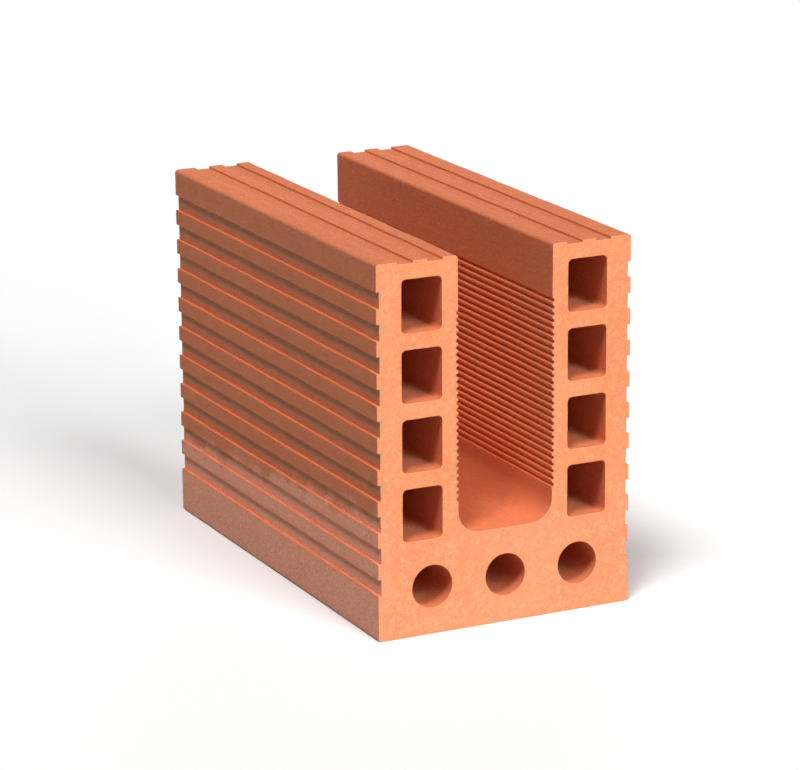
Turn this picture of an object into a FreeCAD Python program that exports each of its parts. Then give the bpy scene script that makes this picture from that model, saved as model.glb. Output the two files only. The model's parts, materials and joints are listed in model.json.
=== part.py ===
"""Hollow clay block of U section, extruded through a die and fired in one piece.

The section lies in the XZ plane and runs along Y. The block stands on its base with the channel
open upwards, and the origin is the middle of the base. All sizes are millimetres.
"""
import FreeCAD, Part
import math
import os
import Sketcher

NODE = "clay_block"
PLACE_TOLERANCE = 0.01

# Driving sizes of the fired block
SIZES = {
    # Outside of the block
    "block_width": 175.0,
    "block_height": 238.0,
    "block_length": 308.0,
    "edge_radius": 2.0,
    # Channel between the two legs, open at the top
    "channel_width": 65.0,
    "base_height": 61.5,
    "channel_corner_radius": 14.5,
    # Shallow mortar grooves along the top of each leg, and the plain bands beside them
    "bed_groove_width": 10.6,
    "bed_groove_depth": 1.5,
    "bed_band_inside": 10.2,
    "bed_band_outside": 14.2,
    "bed_groove_count": 2,
    # Air cells in each leg: the walls beside them and the webs above and between them
    "inner_wall": 11.0,
    "outer_wall": 17.0,
    "top_web": 11.3,
    "cell_web": 10.3,
    "cell_count": 4,
    "cell_corner_radius": 3.0,
    # Round holes through the base
    "hole_diameter": 27.4,
    "hole_side_wall": 23.1,
    "hole_count": 3,
    # Plaster grooves along both outer sides, and the plain bands below and above them
    "groove_height": 10.3,
    "groove_depth": 2.0,
    "groove_band_low": 29.7,
    "groove_band_high": 17.2,
    "groove_count": 10,
    # Fine half-round grooves along both channel walls, and the plain bands below and above them
    "comb_radius": 1.3,
    "comb_pitch": 4.37,
    "comb_band_low": 22.7,
    "comb_band_high": 35.8,
}

# Places on the section that features share, as formulas of the driving sizes
SIDE = "Sizes.block_width / 2"
TOP = "Sizes.block_height"
CHANNEL_WALL = "Sizes.channel_width / 2"
LEG_WIDTH = f"({SIDE} - {CHANNEL_WALL})"
BED_BANDS = "(Sizes.bed_band_inside + Sizes.bed_band_outside)"
BED_SPREAD = f"({LEG_WIDTH} - {BED_BANDS} - Sizes.bed_groove_width)"
CELL_INSIDE = f"{CHANNEL_WALL} + Sizes.inner_wall"
CELL_OUTSIDE = f"{SIDE} - Sizes.outer_wall"
CELL_WEBS = "(Sizes.cell_count - 1) * Sizes.cell_web"
CELL_STACK = f"({TOP} - Sizes.base_height - Sizes.top_web)"
CELL_HEIGHT = f"({CELL_STACK} - {CELL_WEBS}) / Sizes.cell_count"
CELL_CORNER = f"min(Sizes.cell_corner_radius; ({CELL_OUTSIDE} - {CELL_INSIDE}) / 3; {CELL_HEIGHT} / 3)"
HOLE_ROW = f"({SIDE} - Sizes.hole_side_wall - Sizes.hole_diameter / 2)"
GROOVE_RISE = f"({TOP} - Sizes.groove_band_high - Sizes.groove_band_low - Sizes.groove_height)"
COMB_LOW = "Sizes.base_height + Sizes.comb_band_low"
COMB_RISE = f"({TOP} - Sizes.comb_band_high - {COMB_LOW})"

doc = FreeCAD.newDocument("HollowClayBlock")
sheet = doc.addObject("Spreadsheet::Sheet", "Sizes")
for row, (alias, size) in enumerate(SIZES.items(), start=1):
    sheet.set(f"A{row}", alias)
    sheet.set(f"B{row}", str(size))
    sheet.setAlias(f"B{row}", alias)
doc.recompute()

body = doc.addObject("PartDesign::Body", "ClayBlock")
body.Label = NODE


def worth(formula):
    """Number that a formula of the driving sizes gives."""
    return float(body.evalExpression(formula))


def origin_feature(role):
    """Plane or axis of the body's own origin."""
    return next(item for item in body.Origin.OriginFeatures if item.Role == role)


def section_sketch(name):
    """Empty sketch across the middle of the block, in the plane of its section."""
    sketch = body.newObject("Sketcher::SketchObject", name)
    sketch.AttachmentSupport = [(origin_feature("XZ_Plane"), "")]
    sketch.MapMode = "FlatFace"
    return sketch


def dimension(sketch, name, kind, places, formula):
    """Named dimension of a sketch, bound to a formula of the driving sizes."""
    index = sketch.addConstraint(Sketcher.Constraint(kind, *places, worth(formula)))
    sketch.renameConstraint(index, name)
    sketch.setExpression(f"Constraints.{name}", formula)


def rectangle(name, left, right, low, high):
    """Sketch of a rectangle between four formulas."""
    sketch = section_sketch(name)
    x0, x1, z0, z1 = (worth(formula) for formula in (left, right, low, high))
    corners = [FreeCAD.Vector(x, z) for x, z in ((x0, z0), (x1, z0), (x1, z1), (x0, z1))]
    sides = []
    for start, end in zip(corners, corners[1:] + corners[:1]):
        sides.append(sketch.addGeometry(Part.LineSegment(start, end)))
    for side, following in zip(sides, sides[1:] + sides[:1]):
        sketch.addConstraint(Sketcher.Constraint("Coincident", side, 2, following, 1))
    place_sides(sketch, sides, left, right, low, high)
    return sketch


def rounded_rectangle(name, left, right, low, high, corner):
    """Sketch of a rectangle between four formulas, with one corner radius all round."""
    sketch = section_sketch(name)
    x0, x1, z0, z1 = (worth(formula) for formula in (left, right, low, high))
    radius = worth(corner)
    inner = [(x0 + radius, z0 + radius), (x1 - radius, z0 + radius)]
    inner += [(x1 - radius, z1 - radius), (x0 + radius, z1 - radius)]
    centres = [FreeCAD.Vector(x, z) for x, z in inner]
    outward = [FreeCAD.Vector(x, z) * radius for x, z in ((0, -1), (1, 0), (0, 1), (-1, 0))]
    sides = []
    for start, end, shift in zip(centres, centres[1:] + centres[:1], outward):
        sides.append(sketch.addGeometry(Part.LineSegment(start + shift, end + shift)))
    arcs = []
    quarter = math.pi / 2
    for turn, centre in enumerate(centres[1:] + centres[:1]):
        circle = Part.Circle(centre, FreeCAD.Vector(0, 0, 1), radius)
        arcs.append(sketch.addGeometry(Part.ArcOfCircle(circle, (turn - 1) * quarter, turn * quarter)))
    for side, arc, following in zip(sides, arcs, sides[1:] + sides[:1]):
        sketch.addConstraint(Sketcher.Constraint("Tangent", side, 2, arc, 1))
        sketch.addConstraint(Sketcher.Constraint("Tangent", arc, 2, following, 1))
    for arc in arcs[1:]:
        sketch.addConstraint(Sketcher.Constraint("Equal", arcs[0], arc))
    dimension(sketch, "corner", "Radius", (arcs[0],), corner)
    place_sides(sketch, sides, left, right, low, high)
    return sketch


def place_sides(sketch, sides, left, right, low, high):
    """Level and upright sides of a rectangle, each at its own distance from the origin."""
    for side, direction in zip(sides, ("Horizontal", "Vertical", "Horizontal", "Vertical")):
        sketch.addConstraint(Sketcher.Constraint(direction, side))
    low_side, right_side, high_side, left_side = sides
    dimension(sketch, "low", "DistanceY", (-1, 1, low_side, 1), low)
    dimension(sketch, "right", "DistanceX", (-1, 1, right_side, 1), right)
    dimension(sketch, "high", "DistanceY", (-1, 1, high_side, 1), high)
    dimension(sketch, "left", "DistanceX", (-1, 1, left_side, 1), left)


def circle(name, across, up, radius):
    """Sketch of a circle whose centre and radius are formulas."""
    sketch = section_sketch(name)
    centre = FreeCAD.Vector(worth(across), worth(up))
    rim = sketch.addGeometry(Part.Circle(centre, FreeCAD.Vector(0, 0, 1), worth(radius)))
    dimension(sketch, "across", "DistanceX", (-1, 1, rim, 3), across)
    dimension(sketch, "up", "DistanceY", (-1, 1, rim, 3), up)
    dimension(sketch, "radius", "Radius", (rim,), radius)
    return sketch


def extruded(kind, name, sketch):
    """Pad or pocket of a sketch over the whole length of the block."""
    feature = body.newObject(f"PartDesign::{kind}", name)
    feature.Profile = sketch
    feature.SideType = "Symmetric"
    feature.setExpression("Length", "Sizes.block_length")
    settle(feature)
    return feature


def rounded_edges(name, places, radius):
    """Fillet of the long edges that pass through the given places of the section."""
    base = body.Tip
    names = []
    for number, edge in enumerate(base.Shape.Edges, start=1):
        middle = edge.CenterOfMass
        full_length = abs(edge.Length - worth("Sizes.block_length")) < PLACE_TOLERANCE
        for across, up in places:
            near = math.hypot(abs(middle.x) - worth(across), middle.z - worth(up)) < PLACE_TOLERANCE
            if full_length and near:
                names.append(f"Edge{number}")
    if len(names) != 2 * len(places):
        raise RuntimeError(f"{name} found {len(names)} edges")
    fillet = body.newObject("PartDesign::Fillet", name)
    fillet.Base = (base, names)
    fillet.setExpression("Radius", radius)
    settle(fillet)


def row_of(cut, axis, count, step):
    """Pattern that repeats a cut along an axis of the section, a step apart."""
    pattern = body.newObject("PartDesign::LinearPattern", f"{cut.Name}Row")
    pattern.Direction = (origin_feature(axis), [""])
    pattern.Mode = "Spacing"
    pattern.setExpression("Occurrences", count)
    pattern.setExpression("Offset", step)
    return pattern


def repeated(cut, *rows):
    """Rows of a cut, each row then mirrored to the other half of the block."""
    mirror = body.newObject("PartDesign::Mirrored", f"{cut.Name}Mirror")
    mirror.MirrorPlane = (origin_feature("YZ_Plane"), [""])
    feature = body.newObject("PartDesign::MultiTransform", f"{cut.Name}Both")
    feature.Originals = [cut]
    feature.Transformations = [*rows, mirror]
    body.Tip = feature
    settle(feature)


def settle(feature):
    """Recompute, and stop where a cut has taken nothing away."""
    doc.recompute()
    base = feature.BaseFeature
    if base and abs(feature.Shape.Volume - base.Shape.Volume) < PLACE_TOLERANCE:
        raise RuntimeError(f"{feature.Name} leaves the block as it was")


# Solid column of clay, then the channel between the legs
outline = rectangle("BlockOutline", f"-{SIDE}", SIDE, "0", TOP)
extruded("Pad", "Column", outline)
channel = rectangle("ChannelOutline", f"-{CHANNEL_WALL}", CHANNEL_WALL, "Sizes.base_height", TOP)
extruded("Pocket", "Channel", channel)

# Round inner corners of the channel floor, and the small rounding of the die on every long edge
rounded_edges("ChannelCorners", [(CHANNEL_WALL, "Sizes.base_height")], "Sizes.channel_corner_radius")
rounded_edges("LongEdges", [(SIDE, "0"), (SIDE, TOP), (CHANNEL_WALL, TOP)], "Sizes.edge_radius")

# Shallow mortar grooves along the top of each leg
bed = rectangle(
    "BedGrooveOutline",
    f"{CHANNEL_WALL} + Sizes.bed_band_inside",
    f"{CHANNEL_WALL} + Sizes.bed_band_inside + Sizes.bed_groove_width",
    f"{TOP} - Sizes.bed_groove_depth",
    f"{TOP} + Sizes.bed_groove_depth",
)
beds = extruded("Pocket", "BedGroove", bed)
bed_step = f"{BED_SPREAD} / (Sizes.bed_groove_count - 1)"
repeated(beds, row_of(beds, "X_Axis", "Sizes.bed_groove_count", bed_step))

# Air cells, one above the other in each leg
cell = rounded_rectangle(
    "CellOutline",
    CELL_INSIDE,
    CELL_OUTSIDE,
    "Sizes.base_height",
    f"Sizes.base_height + {CELL_HEIGHT}",
    CELL_CORNER,
)
cells = extruded("Pocket", "Cell", cell)
cell_step = f"{CELL_HEIGHT} + Sizes.cell_web"
repeated(cells, row_of(cells, "Z_Axis", "Sizes.cell_count", cell_step))

# Row of round holes, half way up the base
hole = circle("HoleOutline", f"-{HOLE_ROW}", "Sizes.base_height / 2", "Sizes.hole_diameter / 2")
holes = extruded("Pocket", "Hole", hole)
hole_row = row_of(holes, "X_Axis", "Sizes.hole_count", f"2 * {HOLE_ROW} / (Sizes.hole_count - 1)")
hole_row.Originals = [holes]
body.Tip = hole_row
settle(hole_row)

# Plaster grooves that key the render to both outer sides
groove = rectangle(
    "GrooveOutline",
    f"{SIDE} - Sizes.groove_depth",
    f"{SIDE} + Sizes.groove_depth",
    "Sizes.groove_band_low",
    "Sizes.groove_band_low + Sizes.groove_height",
)
grooves = extruded("Pocket", "Groove", groove)
groove_step = f"{GROOVE_RISE} / (Sizes.groove_count - 1)"
repeated(grooves, row_of(grooves, "Z_Axis", "Sizes.groove_count", groove_step))

# Fine half-round grooves that key the poured concrete to the channel walls
comb = circle("CombOutline", CHANNEL_WALL, COMB_LOW, "Sizes.comb_radius")
combs = extruded("Pocket", "Comb", comb)
comb_count = f"floor({COMB_RISE} / Sizes.comb_pitch + 0.5) + 1"
repeated(combs, row_of(combs, "Z_Axis", comb_count, "Sizes.comb_pitch"))

doc.recompute()
for item in doc.Objects:
    if "Invalid" in item.State or "Error" in item.State:
        raise RuntimeError(f"{item.Name} did not compute")
shape = body.Shape
if shape.isNull() or not shape.isValid() or len(shape.Solids) != 1:
    raise RuntimeError("the block is not one valid solid")
os.makedirs("parts", exist_ok=True)
shape.exportStep(f"parts/{NODE}.step")
print(f"{NODE}: {shape.Volume / 1000.0:.1f} cm3, box {shape.BoundBox}")
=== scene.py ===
import json
import math

import bpy
import numpy as np
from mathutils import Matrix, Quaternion, Vector
from mathutils.geometry import delaunay_2d_cdt


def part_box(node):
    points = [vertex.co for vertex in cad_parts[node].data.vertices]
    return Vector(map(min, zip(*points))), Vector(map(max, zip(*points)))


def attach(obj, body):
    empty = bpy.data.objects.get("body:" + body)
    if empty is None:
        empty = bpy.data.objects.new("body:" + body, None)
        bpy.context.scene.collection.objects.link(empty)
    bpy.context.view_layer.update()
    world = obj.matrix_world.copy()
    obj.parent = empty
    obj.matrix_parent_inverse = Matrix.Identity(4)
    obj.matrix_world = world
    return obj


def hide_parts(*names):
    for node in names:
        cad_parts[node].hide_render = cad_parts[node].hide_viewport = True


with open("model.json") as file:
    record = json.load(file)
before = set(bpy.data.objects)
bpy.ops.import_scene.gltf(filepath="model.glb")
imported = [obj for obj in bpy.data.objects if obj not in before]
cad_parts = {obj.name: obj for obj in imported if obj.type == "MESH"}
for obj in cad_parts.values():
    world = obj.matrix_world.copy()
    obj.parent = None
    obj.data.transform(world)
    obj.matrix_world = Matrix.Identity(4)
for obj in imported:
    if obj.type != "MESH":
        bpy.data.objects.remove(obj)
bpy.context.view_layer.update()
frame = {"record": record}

# The walls of the block.
# One column of clay is pressed through a die, so base, legs, channel and every groove share one outline that
# runs the whole length. The die rounds its corners a little, and handling rubs the edges that stand out.
MM = 0.001
NODE = "clay_block"
SIDE, END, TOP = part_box(NODE)[1]
EDGE_RADIUS = 2.0 * MM
CHANNEL_WALL = 32.5 * MM
BASE_HEIGHT = 61.5 * MM
CHANNEL_CORNER = 14.5 * MM
BED_GROOVES = np.array([42.7, 62.7]) * MM
BED_GROOVE_WIDTH = 10.6 * MM
BED_GROOVE_DEPTH = 1.5 * MM
GROOVE_COUNT = 10
GROOVE_LOW = 29.7 * MM
GROOVE_TOP_BAND = 17.2 * MM
GROOVE_HEIGHT = 10.3 * MM
GROOVE_DEPTH = 2.0 * MM
COMB_COUNT = 28
COMB_LOW = 84.2 * MM
COMB_PITCH = 4.37 * MM
COMB_HALF = 1.3 * MM
COMB_DEPTH = 1.3 * MM
COMB_ROOT = 0.95 * MM
ARRIS = 0.35 * MM
RIB_ARRIS = 0.2 * MM
# Steps of an arc at an arris or a comb's root, at an edge or a cell's corner, and in the channel's corners
ARRIS_STEPS = 2
EDGE_STEPS = 4
CHANNEL_STEPS = 10
LONGEST_STEP = 6.0 * MM
RIM_DEEPEST = 0.84 * MM
SHARP = 0.02 * MM
# Wear, painted light and painted shade are shares from 0 to 1, and a turn is the sine of the angle between
# two sides
SLIGHT_TURN = 0.24
SHARP_TURN = 0.64
LEDGE_LEVEL = 0.7
LEDGE_LONGEST = 1.2 * GROOVE_DEPTH
LEDGE_REACH = 1.5 * GROOVE_DEPTH
GROOVE_REACH = 2.0 * GROOVE_DEPTH
COMB_REACH = 2.0 * COMB_DEPTH
CORNER_WEAR = 0.6
# Painted light that brightens the channel's floor, and less of it on its walls
CHANNEL_FLOOR_PAINTED_LIGHT = 0.75
CHANNEL_WALL_PAINTED_LIGHT = 0.2
WALL_PAINTED_SHADE = 0.2
CHANNEL_PAINTED_SHADE = 0.12
COMB_PAINTED_SHADE = 0.35


def corner_frame(corners):
    """For each corner of a closed polygon, the way back, half its angle, its bisector and its turn.

    The bisector is the sum of the unit ways back and ahead, and the turn is the sign of their cross product,
    1 where the corner stands out of the clay.
    """
    back = np.roll(corners, 1, axis=0) - corners
    ahead = np.roll(corners, -1, axis=0) - corners
    back /= np.linalg.norm(back, axis=1, keepdims=True)
    ahead /= np.linalg.norm(ahead, axis=1, keepdims=True)
    half = np.arccos(np.clip((back * ahead).sum(1), -1.0, 1.0)) / 2
    bisector = back + ahead
    bisector /= np.linalg.norm(bisector, axis=1, keepdims=True)
    turn = np.sign(ahead[:, 0] * back[:, 1] - ahead[:, 1] * back[:, 0])
    return back, half, bisector, turn


def rounded(corners, radii, steps):
    """Closed outline of a polygon with arcs for corners.

    Each arc leaves the sides at its radius over the tangent of half the corner's angle, and is swept evenly
    about a centre that lies on the corner's bisector, at the radius over the sine of that half angle.
    """
    back, half, bisector, turn = corner_frame(corners)
    centre = corners + bisector * (radii / np.sin(half))[:, None]
    arm = corners + back * (radii / np.tan(half))[:, None] - centre
    sweep = turn * (math.pi - 2 * half)
    owner = np.repeat(np.arange(len(corners)), steps + 1)
    first = np.cumsum(steps + 1) - (steps + 1)
    angle = sweep[owner] * (np.arange(len(owner)) - first[owner]) / steps[owner]
    arm, centre = arm[owner], centre[owner]
    across = np.cos(angle) * arm[:, 0] - np.sin(angle) * arm[:, 1]
    up = np.sin(angle) * arm[:, 0] + np.cos(angle) * arm[:, 1]
    return centre + np.stack([across, up], axis=1)


def evened(outline, longest, guide):
    """Outline with each side cut into equal parts, none of them longer on the guide than the given step."""
    side = np.roll(outline, -1, axis=0) - outline
    length = np.linalg.norm(np.roll(guide, -1, axis=0) - guide, axis=1)
    parts = np.ceil(length / longest).astype(int).clip(1)
    owner = np.repeat(np.arange(len(outline)), parts)
    first = np.cumsum(parts) - parts
    share = (np.arange(len(owner)) - first[owner]) / parts[owner]
    return outline[owner] + side[owner] * share[:, None]


def section(corners, radii, longest):
    """Rounded outline with the clay on its left, and for each of its points the way into the clay.

    The way in leads to a second outline, whose sides lie a set depth inside: each corner moves along its
    bisector by the depth over the sine of half its angle, and corners that stand out are rounded by that
    much less. Of points that fall together, one is kept.
    """
    half, bisector, turn = corner_frame(corners)[1:]
    stands_out = turn > 0
    move = np.where(stands_out, 1.0, -1.0) * RIM_DEEPEST / np.sin(half)
    inner_radii = np.where(stands_out, np.maximum(radii - RIM_DEEPEST, SHARP), radii)
    large_steps = np.where(radii < CHANNEL_CORNER, EDGE_STEPS, CHANNEL_STEPS)
    steps = np.where(radii < EDGE_RADIUS, ARRIS_STEPS, large_steps)
    guide = rounded(corners, radii, steps)
    inner = rounded(corners + bisector * move[:, None], inner_radii, steps)
    outline = evened(guide, longest, guide)
    way_in = (evened(inner, longest, guide) - outline) / RIM_DEEPEST
    apart = np.linalg.norm(np.roll(outline, -1, axis=0) - outline, axis=1) > SHARP / 2
    return outline[apart], way_in[apart]


def right_half():
    """Corners and radii of the outline's right half, up from the base's edge, over and down the channel."""
    groove_low = np.linspace(GROOVE_LOW, TOP - GROOVE_TOP_BAND - GROOVE_HEIGHT, GROOVE_COUNT)
    groove_high = groove_low + GROOVE_HEIGHT
    plain = np.full(GROOVE_COUNT, SIDE)
    sunk = plain - GROOVE_DEPTH
    side = [plain, groove_low, sunk, groove_low, sunk, groove_high, plain, groove_high]
    bed = BED_GROOVES[::-1]
    bed_far = bed + BED_GROOVE_WIDTH
    level = np.full(len(bed), TOP)
    low = level - BED_GROOVE_DEPTH
    over = [bed_far, level, bed_far, low, bed, low, bed, level]
    comb = (COMB_LOW + COMB_PITCH * np.arange(COMB_COUNT))[::-1]
    wall = np.full(COMB_COUNT, CHANNEL_WALL)
    root = wall + COMB_DEPTH
    teeth = [wall, comb + COMB_HALF, root, comb + COMB_HALF, root, comb - COMB_HALF, wall, comb - COMB_HALF]
    side, over, teeth = (np.stack(places, axis=1).reshape(-1, 2) for places in (side, over, teeth))
    corners = [
        [[SIDE, 0.0]],
        side,
        [[SIDE, TOP]],
        over,
        [[CHANNEL_WALL, TOP]],
        teeth,
        [[CHANNEL_WALL, BASE_HEIGHT]],
    ]
    radii = [
        [EDGE_RADIUS],
        np.full(len(side), RIB_ARRIS),
        [EDGE_RADIUS],
        np.full(len(over), ARRIS),
        [EDGE_RADIUS],
        np.tile([ARRIS, COMB_ROOT, COMB_ROOT, ARRIS], COMB_COUNT),
        [CHANNEL_CORNER],
    ]
    return np.vstack(corners), np.concatenate(radii)


half_corners, half_radii = right_half()
mirrored = half_corners[::-1] * [-1.0, 1.0]
block_corners = np.vstack([half_corners, mirrored])
block_radii = np.concatenate([half_radii, half_radii[::-1]])
block_section = section(block_corners, block_radii, LONGEST_STEP)


def in_channel(across, height):
    """Whether points of the outline belong to the channel's floor or walls, up to the rounded upper edge."""
    inside = across < CHANNEL_WALL + COMB_REACH
    return inside & (height > BASE_HEIGHT / 2) & (height < TOP - EDGE_RADIUS / 2)


def wear_and_painted_light(outline):
    """Share of the lighter colour at each point of the outline: full on ledges, as a painted highlight, less
    on corners that stand out, as wear, and in the channel, as painted light.

    A ledge is a short side that faces up, in the outer walls' grooves or between the teeth of the comb. The
    channel's painted light grows down its rounded corners, from that of its walls to that of its floor.
    """
    side = np.roll(outline, -1, axis=0) - outline
    length = np.linalg.norm(side, axis=1)
    ahead = side / length[:, None]
    behind = np.roll(ahead, 1, axis=0)
    turn = behind[:, 0] * ahead[:, 1] - behind[:, 1] * ahead[:, 0]
    corner = np.clip((turn - SLIGHT_TURN) / (SHARP_TURN - SLIGHT_TURN), 0.0, 1.0)
    across, height = np.abs(outline).T
    grooved = (height > GROOVE_LOW / 2) & (height < TOP - GROOVE_TOP_BAND)
    grooved &= across > SIDE - LEDGE_REACH
    channel = in_channel(across, height)
    combed = channel & (height > COMB_LOW - COMB_PITCH) & (height < TOP - 2 * EDGE_RADIUS)
    # Up-facing ledges get a painted highlight, and the channel gets painted light that grows towards its
    # floor
    ledge = (-ahead[:, 0] > LEDGE_LEVEL) & (length < LEDGE_LONGEST) & (grooved | combed)
    bottom = np.clip((BASE_HEIGHT + CHANNEL_CORNER - height) / CHANNEL_CORNER, 0.0, 1.0)
    channel_painted_light = channel * (CHANNEL_WALL_PAINTED_LIGHT + (CHANNEL_FLOOR_PAINTED_LIGHT - CHANNEL_WALL_PAINTED_LIGHT) * bottom)
    return np.maximum(np.maximum(CORNER_WEAR * corner, channel_painted_light), ledge | np.roll(ledge, 1))


def painted_shade_of(outline):
    """Share of painted shade, a greyer tint, at each point of the outline.

    In a plaster groove it rises evenly, from none on the ledge to full under the upper edge, where the
    overhang shades it. The other outer walls and the channel have a little, and the hollows of the comb more.
    """
    across, height = np.abs(outline).T
    step = (TOP - GROOVE_TOP_BAND - GROOVE_HEIGHT - GROOVE_LOW) / (GROOVE_COUNT - 1)
    rise = (height - GROOVE_LOW) % step / GROOVE_HEIGHT
    outer = (across > SIDE - GROOVE_REACH) & (height < TOP - EDGE_RADIUS / 2)
    grooved = (height > GROOVE_LOW / 2) & (height < TOP - GROOVE_TOP_BAND / 2)
    sunk = outer & grooved & (across < SIDE - GROOVE_DEPTH / 2) & (rise < 1.0)
    hollow = np.clip((across - CHANNEL_WALL) / COMB_DEPTH, 0.0, 1.0)
    # A little painted shade on the outer walls and in the channel, and more in the comb's hollows
    plain = WALL_PAINTED_SHADE * outer + (CHANNEL_PAINTED_SHADE + COMB_PAINTED_SHADE * hollow) * in_channel(across, height)
    return np.where(sunk, rise, plain)


block_wear_and_light = wear_and_painted_light(block_section[0])
block_painted_shade = painted_shade_of(block_section[0])

# The air cells.
# Four cores in each leg of the die leave these shafts, with their corners rounded. They run the whole length
# and are open at both ends.
CELL_COUNT = 4
CELL_INSIDE = 43.5 * MM
CELL_OUTSIDE = 70.5 * MM
TOP_WEB = 11.3 * MM
CELL_WEB = 10.3 * MM
CELL_CORNER = 3.0 * MM
CELL_STEP = 7.0 * MM
cell_height = (TOP - BASE_HEIGHT - TOP_WEB - (CELL_COUNT - 1) * CELL_WEB) / CELL_COUNT


def cell_section(hand, low):
    """Rounded rectangle in the leg on one hand, wound clockwise so that the clay is on its left."""
    left, right = sorted((hand * CELL_INSIDE, hand * CELL_OUTSIDE))
    high = low + cell_height
    corners = np.array([[left, low], [left, high], [right, high], [right, low]])
    return section(corners, np.full(len(corners), CELL_CORNER), CELL_STEP)


cell_lows = BASE_HEIGHT + (cell_height + CELL_WEB) * np.arange(CELL_COUNT)
cell_sections = [cell_section(hand, low) for hand in (-1, 1) for low in cell_lows]

# The holes in the base.
# Three round cores under the channel lighten the base, and run through to the other end. Their places and
# radii are the bores that the frame's record gives.
HOLE_SIDES = 44
bores = [mount for mount in frame["record"]["mounts"] if mount["kind"] == "bore"]
clockwise = -2 * math.pi * np.arange(HOLE_SIDES) / HOLE_SIDES
spokes = np.stack([np.cos(clockwise), np.sin(clockwise)], axis=1)
hole_sections = [
    (np.array(bore["pos_m"])[[0, 2]] + bore["dims"]["r_mm"] * MM * spokes, spokes) for bore in bores
]

# The cut ends.
# A wire cuts the wet column to length. It leaves a flat face, and an arris round each opening that crumbles a
# little, more in some places than in others. The clay swells and drags slightly between the two cuts.
RIM_LEAST = 0.25 * MM
RIM_SPREAD = 0.3 * MM
RIM_CHIP = 0.9 * MM
RIM_SWEEP = np.radians([90.0, 60.0, 30.0, 0.0])
RIM_SUPPORT = 0.2 * MM
RIM_WEAR = 0.15
CRUMBLE_LENGTH = 9.0 * MM
CRUMBLE_SEED = 3
CHIP_LENGTH = 16.0 * MM
CHIP_SEED = 4
CHIP_FROM = 0.75
STATION = 4.4 * MM
CORE_STATION = 11.0 * MM
# In the cores a lighter colour near the open ends fades, and a painted shade tint gathers, over a set depth
CORE_END_LIGHTER = 0.45
CORE_PAINTED_SHADE = 0.25
OPENING_REACH = 20.0 * MM
SWELL = 0.14 * MM
SWELL_LENGTH = 55.0 * MM
SWELL_SEEDS = (11, 21)
DRAG = 0.04 * MM
DRAG_LENGTH = 13.0 * MM
FACE_GRID = 5.0 * MM
FACE_WAVE = 0.12 * MM
FACE_WAVE_LENGTH = 24.0 * MM
FACE_WAVE_SEED = 5
NET_TOLERANCE = 1e-7
WAVES = 18
SHORTEST_WAVE = 0.7
LONGEST_WAVE = 1.6
WAVE_LEVEL = 0.45
NORMAL_WEIGHT = 50


def ripple(points, length, seed):
    """Smooth random field, mostly from -1 to 1.

    It is a sum of sine waves of about one length, in random directions, over a set level for each wave.
    """
    random = np.random.default_rng(seed)
    direction = random.normal(size=(WAVES, 3))
    direction /= np.linalg.norm(direction, axis=1, keepdims=True)
    number = 2 * math.pi / (length * random.uniform(SHORTEST_WAVE, LONGEST_WAVE, WAVES))
    phase = random.uniform(0.0, 2 * math.pi, WAVES)
    return np.sin(points @ (direction * number[:, None]).T + phase).sum(-1) / (WAVE_LEVEL * WAVES)


def rim_rings(outline, end):
    """Rings of one cut end: how far each point draws into the clay, and how far it stays from the end.

    The outline draws in by the rim's radius times one minus the cosine of the sweep, while the ring nears
    the end by the sine. One ring more lies on the face, a little further in.
    """
    here = np.column_stack([outline[:, 0], np.full(len(outline), end * END), outline[:, 1]])
    crumble = (1 + ripple(here, CRUMBLE_LENGTH, CRUMBLE_SEED)) / 2
    chip = np.clip(ripple(here, CHIP_LENGTH, CHIP_SEED) - CHIP_FROM, 0.0, 1.0) * RIM_CHIP
    rim = np.minimum(RIM_LEAST + RIM_SPREAD * crumble + chip, RIM_DEEPEST - RIM_SUPPORT)
    rim = np.where(np.abs(outline[:, 0]) > CHANNEL_WALL + COMB_REACH, rim, RIM_LEAST)
    sunk = np.vstack([rim + RIM_SUPPORT, rim * (1 - np.cos(RIM_SWEEP))[:, None]])
    short = np.vstack([np.zeros(len(rim)), rim * (1 - np.sin(RIM_SWEEP))[:, None]])
    return sunk, short


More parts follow.
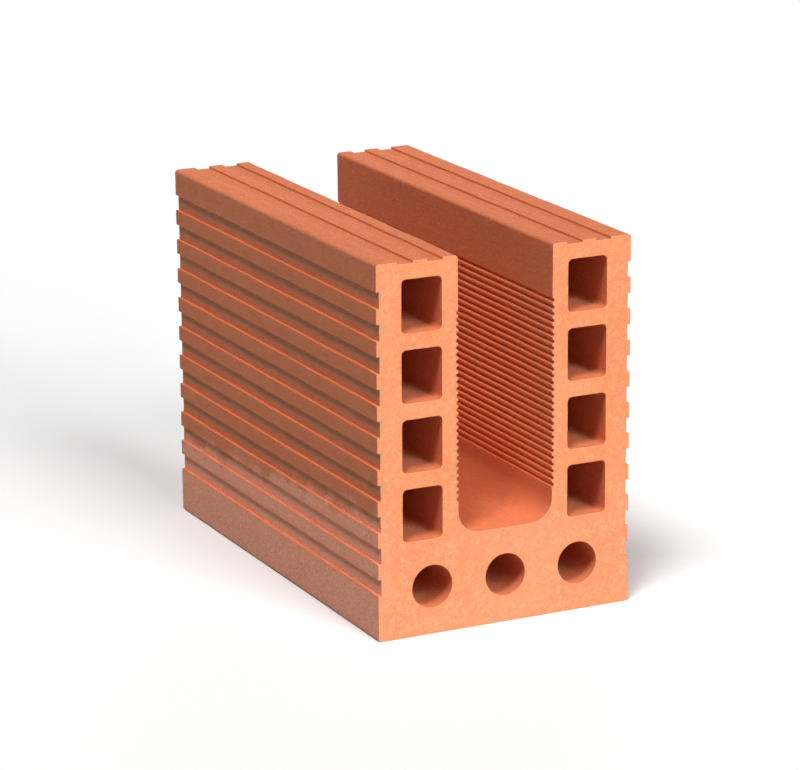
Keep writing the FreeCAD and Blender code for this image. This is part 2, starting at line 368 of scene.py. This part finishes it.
def carried(outline, way_in, wear_and_light, shade_share, station, enclosed, first_vertex):
    """Skin of an outline carried along the block: points, faces, their slots, shares of wear and painted
    light, shares of painted shade, and both end rings.

    Rings run from one end to the other, with the rims' rings at the ends. Each point is shifted by a long
    swell and a short drag, but not at the foot, which stays level. In an enclosed core the lighter colour
    fades and the painted shade gathers evenly over a set depth from the cut ends.
    """
    count = int(2 * END / station)
    inner = np.linspace(-END, END, count + 2)[1:-1]
    near_sunk, near_short = rim_rings(outline, -1.0)
    far_sunk, far_short = rim_rings(outline, 1.0)
    flat = np.zeros((count, len(outline)))
    sunk = np.vstack([near_sunk, flat, far_sunk[::-1]])
    along = np.vstack([near_short - END, flat + inner[:, None], END - far_short[::-1]])
    across = np.broadcast_to(outline[:, 0], along.shape)
    height = np.broadcast_to(outline[:, 1], along.shape)
    points = np.stack([across, along, height], axis=2)
    settled = np.clip(height / EDGE_RADIUS, 0.0, 1.0)
    shift = [
        SWELL * ripple(points, SWELL_LENGTH, seed) + DRAG * ripple(points, DRAG_LENGTH, seed + 1)
        for seed in SWELL_SEEDS
    ]
    points[:, :, [0, 2]] += np.stack(shift, axis=2) * settled[:, :, None] + way_in * sunk[:, :, None]
    ring_count, width = along.shape
    index = first_vertex + np.arange(ring_count * width).reshape(ring_count, width)
    following = np.roll(index, -1, axis=1)
    faces = np.stack([index[:-1], index[1:], following[1:], following[:-1]], axis=2).reshape(-1, 4)
    rim_count = len(RIM_SWEEP)
    cut = np.zeros(ring_count - 1, int)
    cut[:rim_count - 1] = 1
    cut[1 - rim_count:] = 1
    # In a core the lighter colour fades and the painted shade grows with depth from the cut ends
    depth = np.clip((END - np.abs(along)) / OPENING_REACH, 0.0, 1.0)
    near_end, deep_in = (1 - depth, depth) if enclosed else np.ones((2, *depth.shape))
    worn_and_lit = wear_and_light * near_end
    worn_and_lit[:rim_count] = RIM_WEAR
    worn_and_lit[-rim_count:] = RIM_WEAR
    shade_shares = shade_share * deep_in
    slots = np.repeat(cut, width)
    return points.reshape(-1, 3), faces, slots, worn_and_lit.ravel(), shade_shares.ravel(), index[0], index[-1]


def inside_clay(places, loops):
    """Whether each place of the section lies in clay: a level ray from it crosses the outlines an odd number
    of times.
    """
    start = np.vstack(loops)
    end = np.vstack([np.roll(loop, -1, axis=0) for loop in loops])
    spans = (start[:, 1] > places[:, 1:]) != (end[:, 1] > places[:, 1:])
    rise = np.where(end[:, 1] == start[:, 1], 1.0, end[:, 1] - start[:, 1])
    meets = start[:, 0] + (places[:, 1:] - start[:, 1]) * (end[:, 0] - start[:, 0]) / rise
    return (spans & (meets > places[:, :1])).sum(1) % 2 == 1


def cut_face(points, rings, first_vertex, facing):
    """New points and the triangles of one cut end: a Delaunay net of its rings and a grid of places between
    them, less the openings. The grid lies a shallow random wave below the flat of the end.
    """
    loops = [points[ring][:, [0, 2]] for ring in rings]
    columns, rows = np.arange(-SIDE, SIDE, FACE_GRID), np.arange(0.0, TOP, FACE_GRID)
    grid = np.stack(np.meshgrid(columns, rows), axis=-1).reshape(-1, 2)
    grid = grid[inside_clay(grid, loops)]
    edge = np.vstack(loops)
    gap = np.linalg.norm(grid[:, None] - edge[None], axis=2).min(1)
    grid = grid[gap > FACE_GRID / 2]
    starts = np.cumsum([0] + [len(loop) for loop in loops])
    borders = [
        np.stack([np.arange(len(loop)), np.roll(np.arange(len(loop)), -1)], axis=1) + start
        for loop, start in zip(loops, starts)
    ]
    places = np.vstack([edge, grid])
    net = delaunay_2d_cdt(places.tolist(), np.vstack(borders).tolist(), [], 0, NET_TOLERANCE)
    net_triangles, came_from = np.array(net[2]), np.array(net[3])[:, 0]
    triangles = came_from[net_triangles]
    triangles = triangles[inside_clay(places[triangles].mean(1), loops)]
    if facing > 0:
        triangles = triangles[:, ::-1]
    owner = np.concatenate([*rings, first_vertex + np.arange(len(grid))])
    raised = np.column_stack([grid[:, 0], np.full(len(grid), facing * END), grid[:, 1]])
    raised[:, 1] -= facing * FACE_WAVE * (1 + ripple(raised, FACE_WAVE_LENGTH, FACE_WAVE_SEED)) / 2
    return raised, owner[triangles]


def block_mesh():
    """The whole block as one closed mesh: outlines carried along it, and a net over each cut end."""
    points, quads, slots, worn_and_lit, shade_shares, fronts, backs = [], [], [], [], [], [], []
    skins = [(*block_section, block_wear_and_light, block_painted_shade, STATION, False)]
    for core in (*cell_sections, *hole_sections):
        skins.append((*core, CORE_END_LIGHTER, CORE_PAINTED_SHADE, CORE_STATION, True))
    first = 0
    for skin in skins:
        parts = carried(*skin, first)
        first += len(parts[0])
        for kept, new in zip((points, quads, slots, worn_and_lit, shade_shares, fronts, backs), parts):
            kept.append(new)
    wall_points = np.vstack(points)
    triangles = []
    for rings, facing in ((fronts, -1), (backs, 1)):
        raised, net = cut_face(wall_points, rings, first, facing)
        first += len(raised)
        points.append(raised)
        worn_and_lit.append(np.zeros(len(raised)))
        shade_shares.append(np.zeros(len(raised)))
        triangles.append(net)
    places, walls, faces = np.vstack(points), np.vstack(quads), np.vstack(triangles)
    mesh = bpy.data.meshes.new("fired_block")
    mesh.from_pydata(places.tolist(), [], walls.tolist() + faces.tolist())
    slot_of_face = np.concatenate([*slots, np.ones(len(faces), int)])
    mesh.polygons.foreach_set("material_index", slot_of_face)
    mesh.polygons.foreach_set("use_smooth", np.ones(len(slot_of_face), bool))
    # The arris attribute carries wear and painted light, and the groove attribute carries painted shade
    mesh.attributes.new("arris", "FLOAT", "POINT").data.foreach_set("value", np.concatenate(worn_and_lit))
    mesh.attributes.new("groove", "FLOAT", "POINT").data.foreach_set("value", np.concatenate(shade_shares))
    mesh.validate()
    mesh.update()
    return mesh


block = bpy.data.objects.new("fired_block", block_mesh())
bpy.context.scene.collection.objects.link(block)
even_normals = block.modifiers.new("even_normals", "WEIGHTED_NORMAL")
even_normals.weight = NORMAL_WEIGHT
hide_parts(NODE)
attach(block, "root")

# The fired clay.
# Iron in the clay fires to a warm orange, clouded by the kiln and flecked with pale grit. Skin that passed
# the die is smooth with faint streaks along the length, and the wire-cut ends are drier and more mottled.
SKIN_CLAY = (0.668, 0.180, 0.069)
SKIN_DARK = (0.58, 0.147, 0.0555)
CUT_CLAY = (0.91, 0.270, 0.108)
CUT_PALE = (0.98, 0.395, 0.180)
GRIT_PALE = (0.92, 0.62, 0.42)
# A painted reflection of the white floor on the lower outer walls, with painted dark marks along its edge
PAINTED_REFLECTION = (1.0, 0.46, 0.31)
# One lighter colour serves wear on edges, painted highlights on ledges and painted light in the channel
WORN_AND_LIT_CLAY = (0.99, 0.235, 0.075)
# A greyer tint is painted shade: under the grooves' overhangs, in the comb and the cores, and a little on the
# walls
PAINTED_SHADE_TINT = (0.64, 0.33, 0.18)
REFLECTION_EDGE_DARK = (0.16, 0.07, 0.04)
REFLECTION_TOP = 78.0 * MM
REFLECTION_FADE = 14.0 * MM
REFLECTION_RAGGED = 40.0 * MM
REFLECTION_LEAN = math.radians(5.2)
REFLECTION_IN_GROOVES = 0.3
CLOUD_NOISE = {"Scale": 22.0, "Detail": 3.0, "Roughness": 0.55}
MOTTLE_NOISE = {"Detail": 3.0, "Roughness": 0.55, "Distortion": 1.2}
GRAIN_NOISE = {"Scale": 900.0, "Detail": 2.0, "Roughness": 0.6}
RAGGED_NOISE = {"Scale": 45.0, "Detail": 5.0, "Roughness": 0.65}
STREAK_NOISE = {"Scale": 420.0, "Detail": 3.0, "Roughness": 0.5}
STREAK_STRETCH = (1.0, 0.05, 1.0)
GRIT_SCALE = 520.0
# Each range is from two values of a pattern, to a share from 0 to 1 or to the two values that follow
GRIT_CORE = (0.42, 0.12)
CLOUD_RANGE = (0.35, 0.65, 0.0, 0.4)
BLOTCH_RANGE = (0.45, 0.68)
GRAIN_RANGE = (0.52, 0.72)
SPECKLE_RANGE = (0.35, 0.65, 0.65, 1.2)
LIMIT_RANGE = (0.2, 0.5)
REFLECTION_EDGE_RANGE = (0.58, 0.66)
PATCH_RANGE = (0.35, 0.6, 0.5, 0.95)
ROUGHNESS_RANGE = (0.3, 0.7, 0.85, 1.0)
PAINTED_SHADE_SHARE = 0.8
GRIT_SHARE = 0.22
GRAIN_RELIEF = 0.35
MOTTLE_RELIEF = 0.5
SPECULAR_LEVEL = 0.6
# A Mix node has sockets for each kind of value, and those with these numbers carry its colours
MIX_LOW = 6
MIX_HIGH = 7
MIX_RESULT = 2
DIE_SKIN = {
    "body": SKIN_CLAY,
    "change": SKIN_DARK,
    "mottle": 150.0,
    "blotch_share": 0.6,
    "drawn_out": 0.45,
    "grain_share": 0.19,
    "grit_amount": 0.06,
    "reflection_from": SIDE - 3 * GROOVE_DEPTH,
    "reflection_share": 0.8,
    "reflection_edge_share": 0.6,
    "streak_relief": 0.25,
    "relief": 0.35 * MM,
}
WIRE_CUT = {
    "body": CUT_CLAY,
    "change": CUT_PALE,
    "mottle": 330.0,
    "blotch_share": 1.0,
    "drawn_out": 1.0,
    "grain_share": 0.16,
    "grit_amount": 0.12,
    "reflection_from": 0.0,
    "reflection_share": 0.1,
    "reflection_edge_share": 0.0,
    "streak_relief": 0.0,
    "relief": 0.5 * MM,
}


def node(tree, kind, **values):
    """New node of a tree, with the given properties or input values set."""
    made = tree.nodes.new(kind)
    for name, value in values.items():
        if name in made.inputs:
            made.inputs[name].default_value = value
        else:
            setattr(made, name, value)
    return made


def worked(tree, operation, first, second):
    """Result of one sum, product or other step on a socket and a second socket or a number."""
    step = node(tree, "ShaderNodeMath", operation=operation)
    tree.links.new(first, step.inputs[0])
    if isinstance(second, float):
        step.inputs[1].default_value = second
    else:
        tree.links.new(second, step.inputs[1])
    return step.outputs["Value"]


def remapped(tree, value, low, high, to_low=0.0, to_high=1.0, curve="LINEAR"):
    """Socket taken from one range to another, held at its ends."""
    change = node(tree, "ShaderNodeMapRange", interpolation_type=curve)
    for name, number in zip(("From Min", "From Max", "To Min", "To Max"), (low, high, to_low, to_high)):
        change.inputs[name].default_value = number
    tree.links.new(value, change.inputs["Value"])
    return change.outputs["Result"]


def patterned(tree, kind, vector, **values):
    """New texture, mapping or group node that reads the given coordinates."""
    made = node(tree, kind, **values)
    tree.links.new(vector, made.inputs["Vector"])
    return made


def mixed(tree, share, low, high):
    """Colour between two colours or sockets, by a socket's share."""
    mix = node(tree, "ShaderNodeMix", data_type="RGBA")
    tree.links.new(share, mix.inputs["Factor"])
    for socket, colour in ((mix.inputs[MIX_LOW], low), (mix.inputs[MIX_HIGH], high)):
        if isinstance(colour, tuple):
            socket.default_value = (*colour, 1.0)
        else:
            tree.links.new(colour, socket)
    return mix.outputs[MIX_RESULT]


def group(name, inputs, outputs):
    """Empty shader group that reads a vector and named numbers, with the sockets of both its end nodes."""
    tree = bpy.data.node_groups.new(name, "ShaderNodeTree")
    tree.interface.new_socket("Vector", in_out="INPUT", socket_type="NodeSocketVector")
    for socket in inputs:
        tree.interface.new_socket(socket, in_out="INPUT", socket_type="NodeSocketFloat")
    for socket in outputs:
        tree.interface.new_socket(socket, in_out="OUTPUT", socket_type="NodeSocketFloat")
    return tree, tree.nodes.new("NodeGroupInput").outputs, tree.nodes.new("NodeGroupOutput").inputs


def kiln_cloud_group():
    """Patterns of the fired colour: coarse clouds, a mottle of a given scale and a fine grain."""
    tree, given, result = group("kiln_cloud", ["Mottle"], ["Cloud", "Mottle", "Grain"])
    for name, noise in (("Cloud", CLOUD_NOISE), ("Mottle", MOTTLE_NOISE), ("Grain", GRAIN_NOISE)):
        texture = patterned(tree, "ShaderNodeTexNoise", given["Vector"], **noise)
        tree.links.new(texture.outputs["Fac"], result[name])
        if name == "Mottle":
            tree.links.new(given["Mottle"], texture.inputs["Scale"])
    return tree


def grit_group():
    """Pale flecks: the cores of small random cells, kept in the share of cells that the amount gives."""
    tree, given, result = group("pale_grit", ["Scale", "Amount"], ["Mask"])
    cells = patterned(tree, "ShaderNodeTexVoronoi", given["Vector"], Randomness=1.0)
    tree.links.new(given["Scale"], cells.inputs["Scale"])
    core = remapped(tree, cells.outputs["Distance"], *GRIT_CORE, curve="SMOOTHSTEP")
    pick = node(tree, "ShaderNodeSeparateColor")
    tree.links.new(cells.outputs["Color"], pick.inputs["Color"])
    kept = worked(tree, "LESS_THAN", pick.outputs["Red"], given["Amount"])
    tree.links.new(worked(tree, "MULTIPLY", core, kept), result["Mask"])
    return tree


def reflection_group():
    """Painted reflection of the floor near the foot: full below a height, gone a little above it, with a
    ragged upper limit.

    It shows only further out than a set distance from the middle. The limit is strongest where the painted
    reflection is half gone.
    """
    tree, given, result = group("painted_floor_reflection", ["Height", "Fade", "Outside"], ["Mask", "Limit"])
    ragged = patterned(tree, "ShaderNodeTexNoise", given["Vector"], **RAGGED_NOISE)
    place = patterned(tree, "ShaderNodeSeparateXYZ", given["Vector"])
    spread = worked(tree, "MULTIPLY", ragged.outputs["Fac"], REFLECTION_RAGGED)
    falling = {"To Min": 1.0, "To Max": 0.0}
    mask = node(tree, "ShaderNodeMapRange", interpolation_type="SMOOTHSTEP", **falling)
    tree.links.new(worked(tree, "ADD", spread, place.outputs["Z"]), mask.inputs["Value"])
    tree.links.new(given["Height"], mask.inputs["From Min"])
    tree.links.new(worked(tree, "ADD", given["Height"], given["Fade"]), mask.inputs["From Max"])
    aside = node(tree, "ShaderNodeMath", operation="ABSOLUTE")
    tree.links.new(place.outputs["X"], aside.inputs[0])
    outer = worked(tree, "GREATER_THAN", aside.outputs["Value"], given["Outside"])
    kept = worked(tree, "MULTIPLY", mask.outputs["Result"], outer)
    half_gone = 0.5
    tree.links.new(kept, result["Mask"])
    tree.links.new(worked(tree, "PINGPONG", kept, half_gone), result["Limit"])
    return tree


KILN_CLOUD = kiln_cloud_group()
PALE_GRIT = grit_group()
FOOT_REFLECTION = reflection_group()


def placed(tree, shared, vector, **values):
    """Outputs of a shared group in a material, reading the given coordinates."""
    return patterned(tree, "ShaderNodeGroup", vector, node_tree=shared, **values).outputs


def mapped(tree, vector, **values):
    """Coordinates that a Mapping node stretches or turns."""
    return patterned(tree, "ShaderNodeMapping", vector, **values).outputs["Vector"]


def own_attribute(tree, name):
    """Number that the block's mesh carries at each point."""
    return node(tree, "ShaderNodeAttribute", attribute_name=name).outputs["Fac"]


def bumped(tree, heights, distance):
    """Normal of several heights, each with its own share, added together."""
    total, *others = [worked(tree, "MULTIPLY", height, share) for height, share in heights]
    for other in others:
        total = worked(tree, "ADD", total, other)
    bump = node(tree, "ShaderNodeBump", Distance=distance, Strength=1.0)
    tree.links.new(total, bump.inputs["Height"])
    return bump.outputs["Normal"]


def clay(name, body, change, mottle, blotch_share, drawn_out, grain_share, grit_amount, reflection_from,
         reflection_share, reflection_edge_share, streak_relief, relief):
    """Fired clay, in layers of colour: clouds and blotches, painted shade, a painted reflection of the floor
    at the foot, grain and grit, painted dark marks along that reflection's edge, and worn edges with
    painted highlights on ledges and painted light in the channel. The mottle varies the roughness, and
    grain, mottle and streaks give the relief.
    """
    material = bpy.data.materials.new(name)
    material.use_nodes = True
    tree = material.node_tree
    shader = tree.nodes["Principled BSDF"].inputs
    shader["Specular IOR Level"].default_value = SPECULAR_LEVEL
    place = node(tree, "ShaderNodeTexCoord").outputs["Object"]
    dragged = mapped(tree, place, Scale=(1.0, drawn_out, 1.0))
    cloud = placed(tree, KILN_CLOUD, dragged, Mottle=mottle)
    colour = mixed(tree, remapped(tree, cloud["Cloud"], *CLOUD_RANGE), body, change)
    blotch = remapped(tree, cloud["Mottle"], *BLOTCH_RANGE)
    colour = mixed(tree, worked(tree, "MULTIPLY", blotch, blotch_share), colour, change)
    # Painted shade: a greyer tint, by the share that the mesh carries
    groove = own_attribute(tree, "groove")
    colour = mixed(tree, worked(tree, "MULTIPLY", groove, PAINTED_SHADE_SHARE), colour, PAINTED_SHADE_TINT)
    # Painted reflection of the white floor at the foot, stronger in the grooves
    leaning = mapped(tree, place, Rotation=(REFLECTION_LEAN, 0.0, 0.0))
    reflection = placed(tree, FOOT_REFLECTION, leaning, Height=REFLECTION_TOP, Fade=REFLECTION_FADE, Outside=reflection_from)
    cover_share = remapped(tree, groove, 0.0, 1.0, reflection_share, reflection_share + REFLECTION_IN_GROOVES)
    cover = worked(tree, "MULTIPLY", reflection["Mask"], cover_share)
    speckle = remapped(tree, cloud["Grain"], *SPECKLE_RANGE)
    colour = mixed(tree, worked(tree, "MULTIPLY", cover, speckle), colour, PAINTED_REFLECTION)
    grain = remapped(tree, cloud["Grain"], *GRAIN_RANGE)
    colour = mixed(tree, worked(tree, "MULTIPLY", grain, grain_share), colour, GRIT_PALE)
    grit = placed(tree, PALE_GRIT, dragged, Scale=GRIT_SCALE, Amount=grit_amount)
    colour = mixed(tree, worked(tree, "MULTIPLY", grit["Mask"], GRIT_SHARE), colour, GRIT_PALE)
    drawn = mapped(tree, place, Scale=STREAK_STRETCH)
    streak = patterned(tree, "ShaderNodeTexNoise", drawn, **STREAK_NOISE).outputs["Fac"]
    # Painted dark marks along the ragged edge of the painted reflection
    near_limit = remapped(tree, reflection["Limit"], *LIMIT_RANGE)
    reflection_edge = worked(tree, "MULTIPLY", near_limit, remapped(tree, streak, *REFLECTION_EDGE_RANGE))
    colour = mixed(tree, worked(tree, "MULTIPLY", reflection_edge, reflection_edge_share), colour, REFLECTION_EDGE_DARK)
    # Worn edges, painted highlights on ledges and painted light in the channel, in one lighter colour
    patch = remapped(tree, cloud["Mottle"], *PATCH_RANGE)
    colour = mixed(tree, worked(tree, "MULTIPLY", own_attribute(tree, "arris"), patch), colour, WORN_AND_LIT_CLAY)
    tree.links.new(colour, shader["Base Color"])
    tree.links.new(remapped(tree, cloud["Mottle"], *ROUGHNESS_RANGE), shader["Roughness"])
    heights = [(cloud["Grain"], GRAIN_RELIEF), (cloud["Mottle"], MOTTLE_RELIEF), (streak, streak_relief)]
    tree.links.new(bumped(tree, heights, relief), shader["Normal"])
    return material


block.data.materials.append(clay("die_skin", **DIE_SKIN))
block.data.materials.append(clay("wire_cut", **WIRE_CUT))

# The floor.
# A plain white sheet under the block. The camera sees it as white paper with the block's shadow, and it
# throws back only part of the light, as a matt sheet does.
FLOOR_REACH = 12.0
FLOOR_WHITE = (1.0, 1.0, 1.0)
FLOOR_DULL = (0.40, 0.385, 0.375)
FLOOR_LIFT = 0.035


def in_view(tree):
    """Share that is 1 for what the camera sees, straight, in a gloss or through glass, and 0 for the rest."""
    path = node(tree, "ShaderNodeLightPath").outputs
    seen = worked(tree, "MAXIMUM", path["Is Camera Ray"], path["Is Glossy Ray"])
    return worked(tree, "MAXIMUM", seen, path["Is Transmission Ray"])


floor_mesh = bpy.data.meshes.new("floor_sheet")
sheet_corners = np.array([[-1, -1, 0], [1, -1, 0], [1, 1, 0], [-1, 1, 0]]) * FLOOR_REACH
floor_mesh.from_pydata(sheet_corners.tolist(), [], [(0, 1, 2, 3)])
floor = bpy.data.objects.new("floor_sheet", floor_mesh)
bpy.context.scene.collection.objects.link(floor)
paper = bpy.data.materials.new("white_sheet")
paper.use_nodes = True
tree = paper.node_tree
tree.nodes.remove(tree.nodes["Principled BSDF"])
shown = in_view(tree)
matt = node(tree, "ShaderNodeBsdfDiffuse")
tree.links.new(mixed(tree, shown, FLOOR_DULL, FLOOR_WHITE), matt.inputs["Color"])
glow = node(tree, "ShaderNodeEmission")
tree.links.new(worked(tree, "MULTIPLY", shown, FLOOR_LIFT), glow.inputs["Strength"])
both = node(tree, "ShaderNodeAddShader")
tree.links.new(matt.outputs["BSDF"], both.inputs[0])
tree.links.new(glow.outputs["Emission"], both.inputs[1])
tree.links.new(both.outputs["Shader"], tree.nodes["Material Output"].inputs["Surface"])
floor_mesh.materials.append(paper)

# The light.
# A broad lamp stands almost square to the near end and another hangs above it. The key lamp hangs high on the
# left, and a weak one stands low on the far side. Pale walls all round give a faint even glow.
# Each lamp has a name, azimuth and elevation in degrees, strength, width in degrees, and if gloss shows it
FRONT_LAMP = ("front_lamp", 10.0, 19.0, 1.75, 24.0, True)
HIGH_LAMP = ("high_lamp", 7.0, 44.0, 0.8, 20.0, True)
KEY_LAMP = ("key_lamp", -49.0, 64.0, 1.98, 16.0, True)
FILL_LAMP = ("fill_lamp", 150.0, 4.0, 0.9, 30.0, False)
ROOM_GLOW = 0.02
ROOM_WHITE = (1.0, 1.0, 1.0, 1.0)


def toward(azimuth, elevation):
    """Unit vector from the block out to a place round it: azimuth 0 is the near end, 90 the right side."""
    turn, rise = math.radians(azimuth), math.radians(elevation)
    return Vector((math.sin(turn) * math.cos(rise), -math.cos(turn) * math.cos(rise), math.sin(rise)))


for name, azimuth, elevation, strength, width, in_gloss in (FRONT_LAMP, HIGH_LAMP, KEY_LAMP, FILL_LAMP):
    lamp = bpy.data.lights.new(name, "SUN")
    lamp.energy = strength
    lamp.angle = math.radians(width)
    holder = bpy.data.objects.new(name, lamp)
    holder.location = toward(azimuth, elevation)
    holder.rotation_euler = toward(azimuth, elevation).to_track_quat("Z", "Y").to_euler()
    holder.visible_glossy = in_gloss
    bpy.context.scene.collection.objects.link(holder)

room = bpy.data.worlds.new("pale_room")
bpy.context.scene.world = room
room.use_nodes = True
tree = room.node_tree
wall = tree.nodes["Background"]
wall.inputs["Color"].default_value = ROOM_WHITE
tree.links.new(remapped(tree, in_view(tree), 0.0, 1.0, ROOM_GLOW, 1.0), wall.inputs["Strength"])

# The camera.
# It looks at the block from the left of its near end and a little above, through a long lens, as the picture
# does. It is rolled by a fraction of a degree and has no shift.
CAMERA_AZIMUTH = -26.131
CAMERA_ELEVATION = 15.462
CAMERA_ROLL = -0.402
CAMERA_DISTANCE = 2.3384
CAMERA_TARGET = Vector((0.0036, 0.0, 0.11451))
CAMERA_LENS = 161.33
CAMERA_SENSOR = 36.0
CAMERA_SIGHT = 100.0
lens = bpy.data.cameras.new("camera")
lens.lens = CAMERA_LENS
lens.sensor_width = CAMERA_SENSOR
lens.clip_end = CAMERA_SIGHT
camera = bpy.data.objects.new("camera", lens)
back = toward(CAMERA_AZIMUTH, CAMERA_ELEVATION)
camera.location = CAMERA_TARGET + back * CAMERA_DISTANCE
tilt = Quaternion((0.0, 0.0, 1.0), math.radians(CAMERA_ROLL))
camera.rotation_euler = (back.to_track_quat("Z", "Y") @ tilt).to_euler()
bpy.context.scene.collection.objects.link(camera)
bpy.context.scene.camera = camera

bpy.context.scene.view_settings.view_transform = "Standard"
